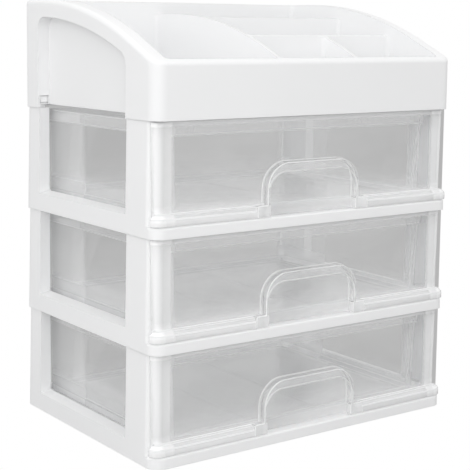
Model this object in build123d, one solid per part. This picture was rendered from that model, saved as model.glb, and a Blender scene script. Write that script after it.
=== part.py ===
from build123d import *
import os

# Makeup organizer: three stacked frames, each with a clear drawer, under a sloping top tray.
# X runs across, Y from front to back and Z up. The origin is the middle of the base.
# Heights inside one tier are measured from the underside of its frame.

# Overall plan of the lips and the tray
width = 290.0
depth = 198.4
corner_radius = 10.0
tier_count = 3
tier_pitch = 83.2

# Tier frame
wall = 2.2
lip_height = 8.4
lip_bevel = 1.2
deck_thickness = 2.0
post_setback = 10.0
post_edge_radius = 3.0
post_lean = 1.2
front_post_depth = 29.2
rear_post_depth = 26.2
rear_post_width = 17.8
jamb_depth = 10.0
sill_outer_height = 14.0
sill_inner_height = 15.8
sill_skin = 2.0
rear_sill_height = 12.6
rail_offset = 33.0
rail_width = 3.0
rail_height = 2.0
rail_end_gap = 14.0
rail_bevel = 0.6
rib_thickness = 1.8
rib_depth = 4.4
rib_spacing = 66.0

# Snap tongues that hold one tier to the next
tongue_width = 5.0
tongue_thickness = 2.0
tongue_reach = 9.0
tongue_root = 12.0
hook_height = 4.2
hook_land = 1.0
snap_window_low = 3.7
snap_window_height = 6.0
snap_window_margin = 0.6

# Clearances
running_gap = 0.3
seat_gap = 0.2

# Drawer front: a clear panel with returns, and a bead along its foot
panel_setback = 4.8
panel_foot_inset = 2.5
panel_top_inset = 1.0
panel_top_gap = 0.5
panel_radius = 9.0
panel_wall = 2.2
panel_top_wall = 3.0
panel_foot_wall = 2.0
bead_height = 8.5
bead_radius = 8.0
bead_bevel = 3.0
bead_depth = 7.2

# Drawer handle: an arched hood let into the panel, with a finger pocket behind it
arch_half_width = 45.0
arch_height = 40.1
arch_radius = 20.0
arch_wall = 2.0
hood_height = 32.8
hood_radius = 16.0
hood_thickness = 2.0
pocket_gap = 0.9
foot_overlap = 3.0
foot_reach = 9.0
foot_height = 9.1
foot_bevel = 0.8

# Drawer bin: a drafted tub with a proud band round its rim
bin_side_gap = 5.4
bin_rear_gap = 0.4
bin_rim_drop = 1.7
bin_draft = 2.0
bin_wall = 2.0
bin_floor = 2.0
bin_radius = 8.0
bin_floor_bevel = 3.0
bin_band_height = 9.0
bin_band_proud = 1.6

# Top tray
tray_back_height = 86.4
rim_flat = 29.2
rim_radius = 320.0
rim_angle = 25.0
rim_edge_radius = 3.8
tray_floor = 2.2
tray_skirt = 2.7
side_band = 12.2
front_band = 5.0
rear_band = 5.0
tray_corner_radius = 6.0
cell_radius = 4.0
cell_floor_bevel = 1.5
divider_drop = 10.0
divider_thickness = 3.0
divider_left = -16.0
divider_right = 62.0
divider_middle = -34.0
divider_rear = 29.5
recess_drop = 14.0
recess_radius = 10.0

# Sizes that follow from the ones above
half_width = width / 2
front_y = -depth / 2
rear_y = depth / 2
post_front = front_y + post_setback
jamb_inner = half_width - jamb_depth
rear_gap = half_width - rear_post_width
window_front = post_front + front_post_depth
window_back = rear_y - rear_post_depth
window_middle = (window_front + window_back) / 2
foot_outer = arch_half_width + foot_reach
panel_half_foot = half_width - panel_foot_inset
panel_half_top = half_width - panel_top_inset
panel_face = front_y + panel_setback
panel_inside = panel_face + panel_wall
panel_back = post_front - running_gap
panel_foot = lip_height + running_gap
panel_top = tier_pitch - panel_top_gap
rail_top = lip_height + rail_height
bin_rim_half = jamb_inner - bin_side_gap
bin_rim_front = panel_back + seat_gap
pocket_back = bin_rim_front - pocket_gap
bin_rim_back = rear_y - wall - bin_rear_gap
bin_foot = rail_top + running_gap
bin_top = panel_top - bin_rim_drop
tray_foot = tier_count * tier_pitch
tray_top = tray_foot + tray_back_height
inner_half = half_width - side_band
inner_front = front_y + front_band
inner_rear = rear_y - rear_band
beyond = 20.0


def block(x_low, x_high, y_low, y_high, z_low, z_high):
    # Rectangular volume between three pairs of limits
    middle = Pos((x_low + x_high) / 2, (y_low + y_high) / 2, (z_low + z_high) / 2)
    return middle * Box(x_high - x_low, y_high - y_low, z_high - z_low)


def plan(half, front, back, front_radius, back_radius, z):
    # Outline seen from above, with its front and back corners rounded as asked
    outline = Pos(0, (front + back) / 2) * Rectangle(2 * half, back - front)
    if front_radius > 0:
        outline = fillet(outline.vertices().sort_by(Axis.Y)[:2], front_radius)
    if back_radius > 0:
        outline = fillet(outline.vertices().sort_by(Axis.Y)[-2:], back_radius)
    return Pos(0, 0, z) * outline


def both_sides(piece):
    # The piece and its mirror image left to right
    return piece + mirror(piece, Plane.YZ)


def four_corners(piece):
    # The piece at all four posts: mirrored left to right, and about the side window's middle
    pair = both_sides(piece)
    return pair + mirror(pair, Plane.XZ.offset(-window_middle))


def slab(half_low, half_high, low, high, front, back):
    # Solid between two heights and two depths, with sides that lean from one half width to the other
    outline = Plane.XZ * Polygon(
        (-half_low, low),
        (half_low, low),
        (half_high, high),
        (-half_high, high),
        align=None,
    )
    return Pos(0, back, 0) * extrude(outline, back - front)


def leaning_block(half, front, back, low, high, lean):
    # Block between two heights, whose four upright walls lean in by the given amount at its top
    across = slab(half, half - lean, low, high, front - beyond, back + beyond)
    outline = Plane.YZ * Polygon(
        (front, low),
        (back, low),
        (back - lean, high),
        (front + lean, high),
        align=None,
    )
    return across & extrude(outline, half + beyond, both=True)


def upright_edges(form):
    # Edges of a form that stand up or lean a little
    return [edge for edge in form.edges() if abs(edge.tangent_at(0.5).Z) > 0.5]


def round_front(form, radius):
    # The form with the upright edges of its front face rounded
    return fillet(upright_edges(form.faces().sort_by(Axis.Y)[0]), radius)


def tier_form(inset, low, high):
    # Outer form of a tier between two heights, drawn in by inset
    form = leaning_block(half_width - inset, front_y + inset, rear_y - inset, 0, tier_pitch, post_lean)
    form = fillet(upright_edges(form), corner_radius - inset)
    return form & block(-width, width, -depth, depth, low, high)


def upright(inset):
    # Part of that form above the lip, set back to the posts' front, whose edges are rounded
    form = tier_form(inset, lip_height, tier_pitch)
    form -= block(-width, width, -depth, post_front + inset, 0, tier_pitch)
    return round_front(form, max(post_edge_radius - inset, 0.5))


def sill():
    # Hollow box along the foot of the right side window, open from below
    section = Plane.XZ * Polygon(
        (jamb_inner, lip_height - deck_thickness),
        (half_width, lip_height - deck_thickness),
        (half_width, sill_outer_height),
        (jamb_inner, sill_inner_height),
        align=None,
    )
    return Pos(0, rear_y, 0) * extrude(section, rear_y - post_front)


def jamb():
    # Return of the right rear post, beside the side window
    return block(jamb_inner, half_width, window_back, window_back + wall, lip_height, tier_pitch)


def tongue():
    # Snap tongue of the right rear post: it stands in the tier above and hooks forwards
    outer = half_width - wall - running_gap
    inner = outer - tongue_width
    face = window_back + wall + running_gap
    back = face + tongue_thickness
    root = block(inner, outer, window_back + wall, back, tier_pitch - tongue_root, tier_pitch)
    blade = block(inner, outer, face, back, tier_pitch, tier_pitch + tongue_reach)
    nose = window_back + running_gap
    catch = tier_pitch + hook_height
    ramp = Plane.YZ * Polygon(
        (face, catch),
        (nose, catch),
        (nose, catch + hook_land),
        (face, tier_pitch + tongue_reach),
        align=None,
    )
    hook = Pos((inner + outer) / 2, 0, 0) * extrude(ramp, tongue_width / 2, both=True)
    return root + blade + hook


def rail():
    # Runner that the right side of a drawer slides on
    bar = block(
        rail_offset - rail_width / 2,
        rail_offset + rail_width / 2,
        post_front + rail_end_gap,
        rear_y - rail_end_gap,
        lip_height,
        rail_top,
    )
    return chamfer(bar.edges().group_by(Axis.Z)[-1], rail_bevel)


def deck_ribs():
    # Crossing ribs that stiffen the deck from below
    low = lip_height - deck_thickness - rib_depth
    high = lip_height - deck_thickness
    ribs = block(-rib_thickness / 2, rib_thickness / 2, front_y + wall, rear_y - wall, low, high)
    for side in (-1, 1):
        x = side * rib_spacing
        ribs += block(x - rib_thickness / 2, x + rib_thickness / 2, front_y + wall, rear_y - wall, low, high)
        y = side * rib_spacing / 2
        ribs += block(-jamb_inner, jamb_inner, y - rib_thickness / 2, y + rib_thickness / 2, low, high)
    return ribs


def tier_frame():
    # One moulded tier: lip and deck, four posts, side sills, runners and snap tongues
    lip = tier_form(0, 0, lip_height)
    skirt = lip - block(-width, width, -depth, post_front, 0, lip_height)
    shell = skirt + upright(0)
    frame = chamfer(lip.edges().group_by(Axis.Z)[-1], lip_bevel) + shell - upright(wall)
    over = tier_pitch + beyond
    frame -= block(-width, width, window_front, window_back, sill_outer_height, over)
    frame -= block(-rear_gap, rear_gap, rear_y - wall - beyond, rear_y + beyond, rear_sill_height, over)
    frame -= block(-jamb_inner, jamb_inner, front_y - beyond, 0, lip_height, over)
    frame += both_sides(sill() & shell)
    frame += four_corners(jamb()) & shell
    inside = corner_radius - wall
    under = plan(half_width - wall, front_y + wall, rear_y - wall, inside, inside, 0)
    frame -= extrude(under, lip_height - deck_thickness)
    outer = half_width - wall
    channel = block(jamb_inner + wall, outer, post_front + wall, rear_y - wall, 0, sill_outer_height)
    channel &= extrude(under, sill_outer_height - sill_skin)
    frame -= both_sides(channel)
    frame += both_sides(rail())
    frame += deck_ribs()
    frame += four_corners(tongue())
    return frame


def rim_region(drop, overrun):
    # Side view of everything below the tray's rim line, lowered by drop: flat at the back, then
    # one long arc, then a straight slope down to the front
    crest = tray_foot + tray_back_height - drop
    flat_end = rear_y - rim_flat
    arc = JernArc((flat_end, crest), (-1, 0), rim_radius, rim_angle)
    run = (arc @ 1).X - front_y + overrun
    slope = PolarLine(arc @ 1, run, 180 + rim_angle, length_mode=LengthMode.HORIZONTAL)
    outline = Line((rear_y + overrun, crest), (flat_end, crest)) + arc + slope
    outline += Polyline(
        slope @ 1,
        (front_y - overrun, tray_foot - beyond),
        (rear_y + overrun, tray_foot - beyond),
        (rear_y + overrun, crest),
    )
    return Plane.YZ * make_face(outline)


def below_rim(drop, half):
    # Volume below the lowered rim line, over the middle stretch of the width
    return extrude(rim_region(drop, beyond), half, both=True)


def cell(x_low, x_high, y_low, y_high):
    # Space of one tray compartment, with rounded upright corners and a bevel round its floor
    floor = tray_foot + tray_skirt + tray_floor
    space = block(x_low, x_high, y_low, y_high, floor, tray_foot + tray_back_height + beyond)
    space = fillet(space.edges().filter_by(Axis.Z), cell_radius)
    return chamfer(space.edges().group_by(Axis.Z)[0], cell_floor_bevel)


def tray_recess():
    # Hollow in the tray's right flank that carries the side windows' line up under the rim
    space = block(jamb_inner, half_width + beyond, window_front, window_back, tray_foot - beyond, tray_top)
    space &= below_rim(recess_drop, half_width + 2 * beyond)
    upper = [edge for edge in space.edges().filter_by(Axis.X) if edge.center().Z > tray_foot]
    return fillet(upper, recess_radius)


def tray_column():
    # Space inside the four corner columns, open from below
    inside = corner_radius - wall
    core = extrude(
        plan(half_width - wall, front_y + wall, rear_y - wall, inside, inside, tray_foot), tray_back_height
    )
    inner = half_width - side_band + wall
    flank = block(inner, half_width, front_y, rear_y, tray_foot, tray_foot + tray_back_height)
    flank -= block(
        inner, half_width, window_front - wall, window_back + wall, tray_foot, tray_foot + tray_back_height
    )
    return core & flank & below_rim(recess_drop + wall, half_width)


def rim_edges(body):
    # Edges round the outside of the tray's rim
    below = below_rim(divider_drop / 2, half_width + beyond)
    above = [edge for edge in body.edges() if not below.is_inside(edge @ 0.5)]
    return [edge for edge in above if abs(edge.tangent_at(0.5).Z) < 0.9]


def top_tray():
    # Sloping tray with five compartments, whose corner columns continue the posts below
    around = plan(half_width, front_y, rear_y, corner_radius, corner_radius, tray_foot)
    body = extrude(around, tray_back_height)
    body &= below_rim(0, half_width + beyond)
    body = fillet(rim_edges(body), rim_edge_radius)
    well = plan(inner_half, inner_front, inner_rear, tray_corner_radius, tray_corner_radius, tray_foot)
    body -= extrude(well, tray_back_height) - below_rim(divider_drop, half_width)
    left = divider_left - divider_thickness / 2
    middle = divider_left + divider_thickness / 2
    back = divider_rear + divider_thickness / 2
    centre_back = divider_rear - divider_thickness / 2
    centre_front = divider_middle + divider_thickness / 2
    front_back = divider_middle - divider_thickness / 2
    body -= cell(-inner_half, left, inner_front, inner_rear)
    body -= cell(middle, inner_half, back, inner_rear)
    body -= cell(middle, inner_half, centre_front, centre_back)
    body -= cell(middle, divider_right - divider_thickness / 2, inner_front, front_back)
    body -= cell(divider_right + divider_thickness / 2, inner_half, inner_front, front_back)
    inside = corner_radius - wall
    under = plan(half_width - wall, front_y + wall, rear_y - wall, inside, inside, tray_foot)
    body -= extrude(under, tray_skirt)
    body -= both_sides(tray_recess())
    body -= both_sides(tray_column())
    low = tray_foot + snap_window_low
    snap_window = block(
        jamb_inner + snap_window_margin,
        half_width - wall + snap_window_margin,
        window_back - seat_gap,
        window_back + wall + seat_gap,
        low,
        low + snap_window_height,
    )
    return body - four_corners(snap_window)


def tub_form(inset):
    # Drafted form of a bin, drawn in by inset
    drawn = bin_band_proud + bin_draft + inset
    front = bin_rim_front + drawn
    back = bin_rim_back - drawn
    form = leaning_block(bin_rim_half - drawn, front, back, bin_foot, bin_top, -bin_draft)
    return fillet(upright_edges(form), bin_radius - inset)


def drawer_bin():
    # Clear tub with a band round its rim and a bevel round its floor
    radius = bin_radius + bin_band_proud
    band = plan(bin_rim_half, bin_rim_front, bin_rim_back, radius, radius, bin_top)
    body = tub_form(0) + extrude(band, -bin_band_height)
    space = tub_form(bin_wall) - block(-width, width, -depth, depth, 0, bin_foot + bin_floor)
    return body - chamfer(space.edges().group_by(Axis.Z)[0], bin_floor_bevel)


def panel_half(z):
    # Half width of the drawer's panel at a height
    share = (z - panel_foot) / (panel_top - panel_foot)
    return panel_half_foot + (panel_half_top - panel_half_foot) * share


def panel_form(inset, low, high):
    # Panel between two heights, drawn in by inset and running back past the returns
    half_low = panel_half(low) - inset
    half_high = panel_half(high) - inset
    form = slab(half_low, half_high, low, high, panel_face + inset, panel_back + beyond)
    return round_front(form, panel_radius - inset)


def arch(half, height, radius, front, back):
    # Solid with the outline of the handle's arch, standing on the panel's foot
    outline = Plane.XZ * (Pos(0, panel_foot + height / 2) * Rectangle(2 * half, height))
    outline = fillet(outline.vertices().group_by(Axis.Z)[-1], radius)
    return Pos(0, back, 0) * extrude(outline, back - front)


def drawer_front():
    # Clear hollow panel with its bead, cut out for the handle
    outside = panel_form(0, panel_foot, panel_top)
    inside = panel_form(panel_wall, panel_foot + panel_foot_wall, panel_top - panel_top_wall)
    bead = extrude(plan(half_width, front_y, panel_back, bead_radius, 0, panel_foot), bead_height)
    top_edges = bead.edges().group_by(Axis.Z)[-1].sort_by(Axis.Y)[:-1]
    bead = chamfer(top_edges, bead_bevel)
    bead -= block(-width, width, front_y + bead_depth, rear_y, 0, tier_pitch)
    handle_gap = foot_outer + seat_gap
    bead -= block(-handle_gap, handle_gap, front_y - beyond, panel_face, 0, tier_pitch)
    grown = (arch_half_width + seat_gap, arch_height + seat_gap, arch_radius + seat_gap)
    cutout = arch(*grown, front_y - beyond, panel_back + beyond)
    behind = block(-width, width, panel_back, rear_y, 0, tier_pitch)
    return outside + bead - inside - cutout - behind


def drawer_handle():
    # Arched hood with its finger pocket, and two foot blocks in line with the bead
    outer = arch(arch_half_width, arch_height, arch_radius, front_y, pocket_back)
    shrunk = (arch_half_width - arch_wall, arch_height - arch_wall, arch_radius - arch_wall)
    hollow = arch(*shrunk, front_y + hood_thickness, panel_inside)
    mouth = arch(arch_half_width - arch_wall, hood_height, hood_radius, front_y - beyond, panel_inside)
    inner = arch_half_width - foot_overlap
    foot = block(inner, foot_outer, front_y, panel_face, panel_foot, panel_foot + foot_height)
    foot = chamfer(foot.edges().filter_by(Axis.Y).group_by(Axis.Z)[-1], foot_bevel)
    return outer - hollow - mouth + both_sides(foot)


os.makedirs("parts", exist_ok=True)

frame_shape = tier_frame()
bin_shape = drawer_bin()
front_shape = drawer_front()
handle_shape = drawer_handle()
for tier in range(tier_count):
    lift = Pos(0, 0, tier * tier_pitch)
    name = tier + 1
    export_step(lift * frame_shape, f"parts/tier_frame_{name}.step")
    export_step(lift * bin_shape, f"parts/drawer_{name}_bin.step")
    export_step(lift * front_shape, f"parts/drawer_{name}_front.step")
    export_step(lift * handle_shape, f"parts/drawer_{name}_handle.step")
export_step(top_tray(), "parts/top_tray.step")
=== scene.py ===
import bmesh
import bpy
import math
import numpy as np
from mathutils import Matrix, Vector


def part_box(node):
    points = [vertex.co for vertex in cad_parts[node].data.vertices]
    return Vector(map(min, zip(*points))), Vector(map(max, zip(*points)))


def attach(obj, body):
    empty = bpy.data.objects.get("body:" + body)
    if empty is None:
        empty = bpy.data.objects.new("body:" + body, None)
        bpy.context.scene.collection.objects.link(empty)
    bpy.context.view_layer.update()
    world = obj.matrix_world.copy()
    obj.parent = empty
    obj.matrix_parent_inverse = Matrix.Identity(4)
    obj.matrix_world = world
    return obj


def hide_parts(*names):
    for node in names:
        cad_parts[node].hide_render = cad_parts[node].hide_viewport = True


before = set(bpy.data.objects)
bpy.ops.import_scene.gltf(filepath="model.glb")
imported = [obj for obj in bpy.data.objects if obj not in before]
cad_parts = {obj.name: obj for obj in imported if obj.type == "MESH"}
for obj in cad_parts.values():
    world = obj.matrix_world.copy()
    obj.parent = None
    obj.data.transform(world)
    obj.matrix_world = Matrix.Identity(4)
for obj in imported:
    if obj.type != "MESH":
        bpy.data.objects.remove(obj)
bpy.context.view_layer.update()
print("frame loaded:", len(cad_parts), "nodes")


class NodeBench:
    # Short ways to add and join nodes in one tree
    def __init__(self, tree):
        self.tree = tree
        tree.nodes.clear()

    def add(self, kind, **values):
        # A new node. Each value goes to the node's own setting, or else to its input of that name.
        node = self.tree.nodes.new(kind)
        for key, value in values.items():
            if hasattr(node, key):
                setattr(node, key, value)
            else:
                node.inputs[key.replace("_", " ")].default_value = value
        return node

    def join(self, source, target):
        self.tree.links.new(source, target)

    def math(self, operation, first, second=0.0):
        # One step of arithmetic, on numbers or on outputs of other nodes
        node = self.add("ShaderNodeMath", operation=operation)
        for spot, value in enumerate((first, second)):
            if isinstance(value, (int, float)):
                node.inputs[spot].default_value = value
            else:
                self.join(value, node.inputs[spot])
        return node.outputs[0]

    def mix(self, share, first, second):
        # Shader that goes from the first to the second as the share rises to 1
        node = self.add("ShaderNodeMixShader")
        self.join(share, node.inputs[0])
        self.join(first.outputs[0], node.inputs[1])
        self.join(second.outputs[0], node.inputs[2])
        return node

    def noise(self, place, scale, detail=2.0):
        node = self.add("ShaderNodeTexNoise", Scale=scale, Detail=detail)
        self.join(place, node.inputs["Vector"])
        return node.outputs["Fac"]

    def between(self, share, low, high):
        # Runs from low to high as the share runs from 0 to 1
        span = self.add("ShaderNodeMapRange", To_Min=low, To_Max=high)
        self.join(share, span.inputs["Value"])
        return span.outputs["Result"]

    def raised(self, height, distance, normal=None):
        # Normal of a surface that stands out by a distance where the height is 1
        bump = self.add("ShaderNodeBump", Strength=1.0, Distance=distance)
        self.join(height, bump.inputs["Height"])
        if normal:
            self.join(normal, bump.inputs["Normal"])
        return bump.outputs["Normal"]

    def finish(self, shader):
        self.join(shader.outputs[0], self.add("ShaderNodeOutputMaterial").inputs["Surface"])


def newMaterial(name):
    material = bpy.data.materials.new(name)
    material.use_nodes = True
    return material, NodeBench(material.node_tree)


def putInScene(name, data):
    thing = bpy.data.objects.new(name, data)
    bpy.context.scene.collection.objects.link(thing)
    return thing


# Where the camera stands, in metres and degrees
cameraPlan = {
    "place": (-0.59867, -0.79810, 0.31304),
    "turn": 34.60,  # from straight ahead towards +X
    "dip": 6.77,  # below the horizon
    "roll": 0.42,
    "lens": 93.06,  # mm
    "sensor": 36.0,  # mm
    "shift": (0.0984, -0.1307),
    "reach": 50.0,  # how far it sees
}


def makeCamera(plan):
    turn, dip, roll = (math.radians(plan[angle]) for angle in ("turn", "dip", "roll"))
    ahead = Vector((math.sin(turn) * math.cos(dip), math.cos(turn) * math.cos(dip), -math.sin(dip)))
    right = Vector((math.cos(turn), -math.sin(turn), 0))
    up = right.cross(ahead)
    tiltedRight = math.cos(roll) * right + math.sin(roll) * up
    tiltedUp = -math.sin(roll) * right + math.cos(roll) * up
    data = bpy.data.cameras.new("photoCamera")
    camera = putInScene("photoCamera", data)
    turned = Matrix((tiltedRight, tiltedUp, -ahead)).transposed().to_4x4()
    camera.matrix_world = Matrix.Translation(plan["place"]) @ turned
    data.sensor_width = plan["sensor"]
    data.lens = plan["lens"]
    data.shift_x, data.shift_y = plan["shift"]
    data.clip_end = plan["reach"]
    bpy.context.scene.camera = camera
    print("camera ready")


# Soft white studio: a surround that is brightest above and before the object, three lamps and a pale
# floor. The floor and the surround look white by themselves, and through the clear plastic they show a
# painted shade of grey that stands for the shade inside the object.
studioPlan = {
    "brightFrom": (-0.40, -0.55, 0.73),
    "turnedAway": -0.55,  # cosine to the bright side at which the surround is dimmest
    "turnedTo": 0.65,  # and at which it is brightest
    "dimmest": 0.76,
    "brightest": 0.97,
    "seenWhite": 1.0,  # how bright floor and surround look by themselves
    "shadeBehindClear": 0.465,  # and how bright they look through the object: painted shade
    "floorShade": 0.48,  # how much light the floor sends back up
    "floorHalf": 6.0,
    "veilInset": 0.004,  # how far the veil stands inside the case
    "clearLayers": 40,  # clear faces that a line of sight may cross
    "whiteTurns": 8,  # times that light passes on between white walls
    "lamps": (
        {"name": "topLamp", "place": (-0.3, -0.4, 1.6), "aim": (0, 0, 0.3), "size": 1.9, "power": 0.9},
        {"name": "sideLamp", "place": (-1.5, -0.6, 0.5), "aim": (0, 0, 0.2), "size": 1.0, "power": 2.45},
        {"name": "frontLamp", "place": (-0.75, -0.9, 0.5), "aim": (0, 0, 0.2), "size": 0.8, "power": 2.25},
    ),
}


def pastClear(bench):
    # Whether a ray is a line of sight, and whether it has crossed anything clear: each is 0 or 1
    path = bench.add("ShaderNodeLightPath")
    crossed = bench.math("GREATER_THAN", path.outputs["Transparent Depth"], 0.5)
    return path.outputs["Is Camera Ray"], crossed


def makeSurround(plan):
    # Brightness follows the cosine between a direction and the bright side of the studio
    world = bpy.data.worlds.new("studioSurround")
    world.use_nodes = True
    bpy.context.scene.world = world
    bench = NodeBench(world.node_tree)
    sight, crossed = pastClear(bench)
    cosine = bench.add("ShaderNodeVectorMath", operation="DOT_PRODUCT")
    bench.join(bench.add("ShaderNodeTexCoord").outputs["Generated"], cosine.inputs[0])
    cosine.inputs[1].default_value = Vector(plan["brightFrom"]).normalized()
    level = bench.add("ShaderNodeMapRange", From_Min=plan["turnedAway"], From_Max=plan["turnedTo"],
                      To_Min=plan["dimmest"], To_Max=plan["brightest"])
    bench.join(cosine.outputs["Value"], level.inputs["Value"])
    lit = bench.add("ShaderNodeBackground", Color=(1, 1, 1, 1))
    bench.join(level.outputs["Result"], lit.inputs["Strength"])
    # Painted shade: seen through the object, the surround is a dim grey
    paintedShadeBackdrop = bench.add("ShaderNodeBackground", Color=(1, 1, 1, 1), Strength=plan["shadeBehindClear"])
    white = bench.add("ShaderNodeBackground", Color=(1, 1, 1, 1), Strength=plan["seenWhite"])
    seen = bench.mix(crossed, white, paintedShadeBackdrop)
    out = bench.add("ShaderNodeOutputWorld")
    bench.join(bench.mix(sight, lit, seen).outputs[0], out.inputs["Surface"])


def makeFloor(plan):
    half = plan["floorHalf"]
    corners = [(-half, -half, 0), (half, -half, 0), (half, half, 0), (-half, half, 0)]
    mesh = bpy.data.meshes.new("studioFloor")
    mesh.from_pydata(corners, [], [(0, 1, 2, 3)])
    floor = putInScene("studioFloor", mesh)
    material, bench = newMaterial("paleFloor")
    sight, crossed = pastClear(bench)
    shade = plan["floorShade"]
    matt = bench.add("ShaderNodeBsdfDiffuse", Color=(shade, shade, shade, 1))
    # Painted shade: seen through the object, the floor is a dim grey
    paintedShadeBackdrop = bench.add("ShaderNodeEmission", Strength=plan["shadeBehindClear"])
    white = bench.add("ShaderNodeEmission", Strength=plan["seenWhite"])
    bench.finish(bench.mix(sight, matt, bench.mix(crossed, white, paintedShadeBackdrop)))
    mesh.materials.append(material)


def makeLamps(plan):
    for lamp in plan["lamps"]:
        data = bpy.data.lights.new(lamp["name"], "AREA")
        data.size = lamp["size"]
        data.energy = lamp["power"]
        panel = putInScene(lamp["name"], data)
        panel.location = lamp["place"]
        beam = Vector(lamp["aim"]) - Vector(lamp["place"])
        panel.rotation_euler = beam.to_track_quat("-Z", "Y").to_euler()
    print("studio ready")


def makeVeil(case, plan):
    # An unseen sheet inside the posts. What shows past it counts as seen through the object, so the gaps
    # round the drawers show the same painted shade of backdrop as the drawers do.
    inset = plan["veilInset"]
    low, high = (Vector(corner) for corner in case)
    left, right = low.x + inset, high.x - inset
    fore, rear = low.y + inset, high.y - inset
    corners = [(left, fore), (left, rear), (right, rear), (right, fore)]
    points = [(x, y, z) for z in (low.z, high.z) for x, y in corners]
    mesh = bpy.data.meshes.new("openingVeil")
    mesh.from_pydata(points, [], [(0, 1, 5, 4), (1, 2, 6, 5), (2, 3, 7, 6)])
    veil = putInScene("openingVeil", mesh)
    material, bench = newMaterial("openAir")
    bench.finish(bench.add("ShaderNodeBsdfTransparent"))
    mesh.materials.append(material)
    print("veil ready")


# White moulded plastic of the frames and the tray
whitePlastic = {
    "colour": (0.93, 0.932, 0.935),
    "tint": (0.90, 0.903, 0.908),  # of the dullest patches
    "patchScale": 14.0,
    "patchDetail": 4.0,
    "bend": 1.46,  # index of refraction
    "roughLow": 0.30,
    "roughHigh": 0.44,
    "grain": 0.00006,  # height of the fine texture, metres
    "grainScale": 900.0,
    "swell": 0.00025,  # shallow unevenness of a moulded wall
    "swellScale": 26.0,
    "scuffScale": (60.0, 60.0, 900.0),
    "scuffDetail": 3.0,
    "edge": 0.0007,  # radius that moulding leaves on every edge
    "edgeSamples": 4,
}


def whiteMaterial(plan):
    # Opaque white with a soft gloss: fine grain, shallow swells, and rougher handled patches
    material, bench = newMaterial("whitePlastic")
    place = bench.add("ShaderNodeTexCoord").outputs["Object"]
    skin = bench.add("ShaderNodeBsdfPrincipled", IOR=plan["bend"])
    patches = bench.noise(place, plan["patchScale"], plan["patchDetail"])
    colour = bench.add("ShaderNodeMix", data_type="RGBA")
    colour.inputs["A"].default_value = (*plan["colour"], 1)
    colour.inputs["B"].default_value = (*plan["tint"], 1)
    bench.join(patches, colour.inputs["Factor"])
    bench.join(colour.outputs["Result"], skin.inputs["Base Color"])
    stretch = bench.add("ShaderNodeMapping", Scale=plan["scuffScale"])
    bench.join(place, stretch.inputs["Vector"])
    scuffs = bench.noise(stretch.outputs["Vector"], 1.0, plan["scuffDetail"])
    handled = bench.math("MULTIPLY", patches, scuffs)
    bench.join(bench.between(handled, plan["roughLow"], plan["roughHigh"]), skin.inputs["Roughness"])
    # The normal turns over every edge as if it were rounded, then follows the swells and the grain
    softEdge = bench.add("ShaderNodeBevel", samples=plan["edgeSamples"], Radius=plan["edge"])
    swells = bench.noise(place, plan["swellScale"])
    grains = bench.noise(place, plan["grainScale"])
    swollen = bench.raised(swells, plan["swell"], softEdge.outputs["Normal"])
    bench.join(bench.raised(grains, plan["grain"], swollen), skin.inputs["Normal"])
    bench.finish(skin)
    return material


def dressCase(nodes, finish):
    # The frames and the tray stay as the frame gives them and take the white finish
    for name, piece in nodes.items():
        if name.startswith("drawer"):
            continue
        for spot in piece.material_slots:
            spot.material = finish
    print("case dressed")


# Plates that close the four snap windows in the tray, round the tongues that come up from below
snapPlate = {
    "fromMiddle": 0.1395,  # middle of a window, across the tray
    "faces": ((0.0730, 1.0), (-0.0600, -1.0)),  # a jamb's outer face along Y, and the way into it
    "sunk": 0.0011,  # how far a plate lies behind that face
    "thick": 0.0009,
    "halfWidth": 0.0037,
    "low": 0.0039,  # above the tray's foot
    "high": 0.0095,
    "squareness": 6.0,  # a circle at 2, nearly a square at 6
    "sides": 40,
    "rings": ((1.0, 1.0), (1.0, 0.15), (0.95, 0.0), (0.84, 0.0), (0.80, 0.25), (0.5, 0.32)),
}


def plateMesh(plan, side, face, inward, foot):
    # A shallow dish of rounded squares. On a ring, the distances from its middle across and upwards, as
    # shares of the half sizes and raised to the power of the squareness, add up to 1. Each ring has its
    # own size and is set back along Y by its own share of the thickness. A face closes either end.
    count = plan["sides"]
    turn = np.linspace(0, 2 * np.pi, count, endpoint=False)
    power = 2 / plan["squareness"]
    halfHeight = (plan["high"] - plan["low"]) / 2
    across = np.sign(np.cos(turn)) * np.abs(np.cos(turn)) ** power * plan["halfWidth"]
    upward = np.sign(np.sin(turn)) * np.abs(np.sin(turn)) ** power * halfHeight
    rings = np.array(plan["rings"])
    x = side * plan["fromMiddle"] + np.outer(rings[:, 0], across)
    z = foot + (plan["high"] + plan["low"]) / 2 + np.outer(rings[:, 0], upward)
    depth = face + inward * (plan["sunk"] + rings[:, 1] * plan["thick"])
    y = np.repeat(depth[:, None], count, axis=1)
    points = np.stack([x, y, z], axis=-1).reshape(-1, 3)
    row = np.arange(len(rings) - 1)[:, None] * count
    here = np.arange(count)[None, :]
    after = (here + 1) % count
    faces = np.stack([row + here, row + after, row + count + after, row + count + here], axis=-1)
    last = len(points) - count
    caps = [list(range(count))[::-1], list(range(last, len(points)))]
    return points, faces.reshape(-1, 4).tolist() + caps


def makeSnapPlates(plan, foot, finish):
    points, faces = [], []
    for side in (-1.0, 1.0):
        for face, inward in plan["faces"]:
            more, rims = plateMesh(plan, side, face, inward, foot)
            start = sum(len(block) for block in points)
            points.append(more)
            faces += [[start + corner for corner in rim] for rim in rims]
    mesh = bpy.data.meshes.new("snapPlates")
    mesh.from_pydata(np.concatenate(points).tolist(), [], faces)
    plates = bmesh.new()
    plates.from_mesh(mesh)
    bmesh.ops.recalc_face_normals(plates, faces=plates.faces)
    plates.to_mesh(mesh)
    plates.free()
    mesh.materials.append(finish)
    piece = putInScene("snapPlates", mesh)
    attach(piece, "case")
    print("snap plates ready")


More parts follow.
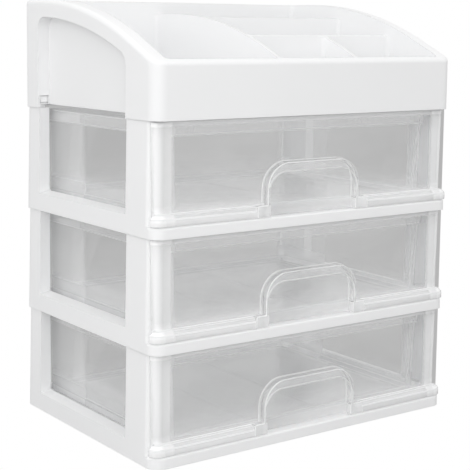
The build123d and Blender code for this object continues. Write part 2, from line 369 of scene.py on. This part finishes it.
# Clear moulded plastic of the drawers
clearPlastic = {
    "colour": (0.95, 0.953, 0.956),
    "haze": (0.008, 0.034),  # share of light that each face scatters, cleanest and dullest
    "hazeScale": 30.0,
    "hazeDetail": 4.0,
    "hazeRough": 0.5,
    "edgeHazeAndHighlight": 0.72,  # what the rounded edges scatter besides, so that they look pale: partly a painted highlight
    "faceOn": 0.04,  # share mirrored by a face seen straight on
    "grazing": 5.0,  # power by which that share grows as the view gets flatter
    "roughLow": 0.03,
    "roughHigh": 0.10,
    "ripple": 0.00010,  # height of the faint waves of a moulded face, metres
    "rippleScale": 38.0,
}

# The three clear pieces of a drawer. Where a piece is thick or turns a corner it looks milky, and the
# milky zones are partly painted light: they are also set paler where lit white parts show through. The
# haze of a zone rises from none at "start" to its whole share at "full", by the distance from the middle
# plane ("side"), by the height in a tier, or by how far a place lies within the tub's bounds of that name.
frontPanel = {
    "node": "front",
    "round": 0.0007,
    "hollows": True,  # whether inner corners are rounded too
    "milkAndPaintedLightZones": (
        # Painted light: the side zones make the panel's ends paler, where the lit white posts show through
        {"by": "side", "start": 0.1265, "full": 0.1285, "haze": 0.32},
        {"by": "side", "start": 0.1345, "full": 0.1375, "haze": 0.26},
        {"by": "height", "start": 0.023, "full": 0.0125, "haze": 0.56},
        {"by": "height", "start": 0.0785, "full": 0.0800, "haze": 0.55},
    ),
}
binTub = {
    "node": "bin",
    "round": 0.0007,
    "hollows": True,
    # Bounds: "side" from the middle plane, "fore" and "rear" before and behind the middle, "high" above a
    # tier's foot. The corner's bound moves outwards by "lean" for each metre of height.
    "corner": {"side": 0.1170, "fore": 0.076, "lean": 0.05},
    "flank": {"side": 0.118, "rear": 0.032},
    "seam": {"side": 0.1213, "rear": 0.0885, "high": 0.0160},
    "milkAndPaintedLightZones": (
        # Painted light: the corner and flank zones make the front corners and the rear of the side walls
        # paler
        {"by": "corner", "start": 0.0, "full": 0.0008, "haze": 0.26},
        {"by": "flank", "start": 0.0, "full": 0.0010, "haze": 0.20},
        {"by": "height", "start": 0.0715, "full": 0.0722, "haze": 0.20},
        {"by": "height", "start": 0.030, "full": 0.0125, "haze": 0.24},
        # Painted highlight: a pale line along the floor's far and side seams
        {"by": "seam", "start": 0.0, "full": 0.0004, "haze": 0.34},
    ),
}
hoodHandle = {
    "node": "handle",
    "round": 0.0006,
    "hollows": False,
    # Past "side" the step of the hood, at "fore", is too thin to be rounded
    "thinStep": {"side": 0.0421, "fore": 0.0972, "within": 0.0001},
    "milkAndPaintedLightZones": (
        {"by": "height", "start": 0.0195, "full": 0.0165, "haze": 0.34},
        {"by": "height", "start": 0.0601, "full": 0.0600, "haze": 0.07},
    ),
}
mouldRules = {
    "join": 0.000002,  # metres within which loose corners are one
    "flat": 0.6,  # degrees within which facets are one face
    "sharp": 28.0,  # degrees past which an edge is rounded
    "rings": 2,  # strips that make up a rounding
}


def tubMeasures(bench, plan, side, along, height):
    # How far a place lies within the front corners, the rear flanks and the floor's seams, in metres
    corner, flank, seam = plan["corner"], plan["flank"], plan["seam"]
    lean = bench.math("MULTIPLY", height, corner["lean"])
    pastCorner = bench.math("SUBTRACT", side, bench.math("ADD", lean, corner["side"]))
    pastFore = bench.math("SUBTRACT", -corner["fore"], along)
    pastFlank = bench.math("SUBTRACT", side, flank["side"])
    pastRear = bench.math("SUBTRACT", along, flank["rear"])
    pastWall = bench.math("SUBTRACT", side, seam["side"])
    pastBack = bench.math("SUBTRACT", along, seam["rear"])
    below = bench.math("SUBTRACT", seam["high"], height)
    return {
        "corner": bench.math("MINIMUM", pastCorner, pastFore),
        "flank": bench.math("MINIMUM", pastFlank, pastRear),
        "seam": bench.math("MINIMUM", bench.math("MAXIMUM", pastWall, pastBack), below),
    }


def zoneHazeAndPaintedLight(bench, place, plan, pitch):
    # Sum of a piece's milky zones, partly painted light
    spot = bench.add("ShaderNodeSeparateXYZ")
    bench.join(place, spot.inputs[0])
    side = bench.math("ABSOLUTE", spot.outputs["X"])
    height = bench.math("MODULO", spot.outputs["Z"], pitch)
    measures = {"side": side, "height": height}
    if "corner" in plan:
        measures.update(tubMeasures(bench, plan, side, spot.outputs["Y"], height))
    total = 0.0
    for zone in plan["milkAndPaintedLightZones"]:
        rise = bench.add("ShaderNodeMapRange", From_Min=zone["start"], From_Max=zone["full"],
                         To_Max=zone["haze"])
        bench.join(measures[zone["by"]], rise.inputs["Value"])
        total = bench.math("ADD", rise.outputs["Result"], total)
    return total


def mirrorShare(bench, plastic):
    # Share mirrored at an angle: little face on, and all of it at grazing
    facing = bench.add("ShaderNodeLayerWeight", Blend=0.5).outputs["Facing"]
    flatter = bench.math("POWER", facing, plastic["grazing"])
    grown = bench.math("MULTIPLY", flatter, 1.0 - plastic["faceOn"])
    return bench.math("ADD", grown, plastic["faceOn"])


def clearMaterial(name, plastic, plan=None, pitch=None):
    # Clear plastic: open to light, mirrored at glancing angles and faintly hazy. With a plan it has that
    # piece's milky zones, partly painted light, and without one it is the pale finish of the rounded
    # edges, partly a painted highlight.
    material, bench = newMaterial(name)
    place = bench.add("ShaderNodeTexCoord").outputs["Object"]
    ripples = bench.raised(bench.noise(place, plastic["rippleScale"]), plastic["ripple"])
    patches = bench.noise(place, plastic["hazeScale"], plastic["hazeDetail"])
    milky = bench.add("ShaderNodeBsdfPrincipled", Roughness=plastic["hazeRough"])
    milky.inputs["Base Color"].default_value = (*plastic["colour"], 1)
    bench.join(ripples, milky.inputs["Normal"])
    gloss = bench.add("ShaderNodeBsdfGlossy")
    dull = bench.between(patches, plastic["roughLow"], plastic["roughHigh"])
    bench.join(dull, gloss.inputs["Roughness"])
    bench.join(ripples, gloss.inputs["Normal"])
    hazeAndPaintedLight = zoneHazeAndPaintedLight(bench, place, plan, pitch) if plan else plastic["edgeHazeAndHighlight"]
    haze = bench.math("ADD", bench.between(patches, *plastic["haze"]), hazeAndPaintedLight)
    body = bench.mix(haze, bench.add("ShaderNodeBsdfTransparent"), milky)
    clear = bench.mix(mirrorShare(bench, plastic), body, gloss)
    path = bench.add("ShaderNodeLightPath")
    mirroredOnce = bench.mix(path.outputs["Is Glossy Ray"], clear, body)  # no light is trapped inside
    unshadowed = bench.add("ShaderNodeBsdfTransparent")  # the plastic casts no shadow
    bench.finish(bench.mix(path.outputs["Is Shadow Ray"], mirroredOnce, unshadowed))
    return material


def onThinStep(edge, plan):
    # Whether an edge borders the step where that is narrower than a rounding
    if "thinStep" not in plan:
        return False
    step = plan["thinStep"]
    ends = [corner.co for corner in edge.verts]
    return all(abs(end.x) > step["side"] and abs(end.y + step["fore"]) < step["within"] for end in ends)


def mouldedCopy(node, plan, rules, finishes):
    # The moulded piece with its facets joined into faces and its edges rounded off. The rounding
    # carries the pale finish, partly a painted highlight, and the flats carry the clear one.
    mould = bmesh.new()
    mould.from_mesh(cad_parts[node].data)
    bmesh.ops.remove_doubles(mould, verts=mould.verts, dist=rules["join"])
    flat, sharp = math.radians(rules["flat"]), math.radians(rules["sharp"])
    bmesh.ops.dissolve_limit(mould, angle_limit=flat, verts=mould.verts, edges=mould.edges)
    rounded = mould.edges.layers.float.new("bevel_weight_edge")
    for edge in mould.edges:
        fold = edge.calc_face_angle_signed(0.0)  # negative at an inner corner
        wanted = fold > sharp or (plan["hollows"] and fold < -sharp)
        edge[rounded] = float(wanted and not onThinStep(edge, plan))
    mesh = bpy.data.meshes.new(node + "_moulded")
    mould.to_mesh(mesh)
    mould.free()
    mesh.materials.clear()
    for finish in finishes:
        mesh.materials.append(finish)
    mesh.polygons.foreach_set("use_smooth", np.ones(len(mesh.polygons), dtype=bool))
    piece = putInScene(node + "_moulded", mesh)
    bevel = piece.modifiers.new("roundedEdges", "BEVEL")
    bevel.width = plan["round"]
    bevel.segments = rules["rings"]
    bevel.limit_method = "WEIGHT"
    bevel.use_clamp_overlap = False
    bevel.material = 1  # the second finish
    bevel.harden_normals = True
    return piece


def makeDrawers(count, plans, plastic, rules, pitch):
    # Every clear piece of every drawer, each standing for the moulded one that it copies
    pale = clearMaterial("clearEdge", plastic)
    for plan in plans:
        clear = clearMaterial("clear" + plan["node"].capitalize(), plastic, plan, pitch)
        for number in range(1, count + 1):
            node = f"drawer_{number}_{plan['node']}"
            piece = mouldedCopy(node, plan, rules, (clear, pale))
            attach(piece, f"drawer_{number}")
            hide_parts(node)
    print("drawers ready:", count, "drawers of", len(plans), "pieces")


bpy.context.scene.view_settings.view_transform = "Standard"
bpy.context.scene.cycles.transparent_max_bounces = studioPlan["clearLayers"]
bpy.context.scene.cycles.diffuse_bounces = studioPlan["whiteTurns"]
makeCamera(cameraPlan)
makeSurround(studioPlan)
makeFloor(studioPlan)
makeLamps(studioPlan)
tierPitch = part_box("tier_frame_2")[0][2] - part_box("tier_frame_1")[0][2]
drawerCount = sum(name.endswith("_bin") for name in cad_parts)
whiteFinish = whiteMaterial(whitePlastic)
dressCase(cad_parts, whiteFinish)
makeSnapPlates(snapPlate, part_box("top_tray")[0][2], whiteFinish)
makeDrawers(drawerCount, (frontPanel, binTub, hoodHandle), clearPlastic, mouldRules, tierPitch)
makeVeil((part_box("tier_frame_1")[0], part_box("tier_frame_3")[1]), studioPlan)

bpy.context.view_layer.update()
